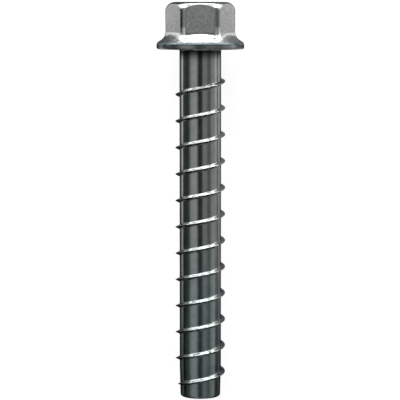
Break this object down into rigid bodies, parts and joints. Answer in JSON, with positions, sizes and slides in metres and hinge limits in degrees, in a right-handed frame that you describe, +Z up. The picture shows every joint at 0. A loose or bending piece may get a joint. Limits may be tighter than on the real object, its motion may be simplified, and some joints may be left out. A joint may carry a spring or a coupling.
{
  "type": "concrete screw",
  "caption": "Hex flange head screw whose coarse thread cuts its own groove in a hole drilled in concrete.",
  "frame": {"origin": "on the ground, under the middle of the box of the screw as it lies", "axes": "+Z up from the ground; +Y from the tip towards the head, level, with the screw's own axis 3.4 degrees off it; +X across"},
  "size_m": [0.025, 0.114, 0.025],
  "materials": {
    "plated_steel": "zinc plated, semi-bright on the shank and dull on the head"
  },
  "bodies": {
    "root": {"concrete_screw": "plated_steel"}
  },
  "joints": []
}
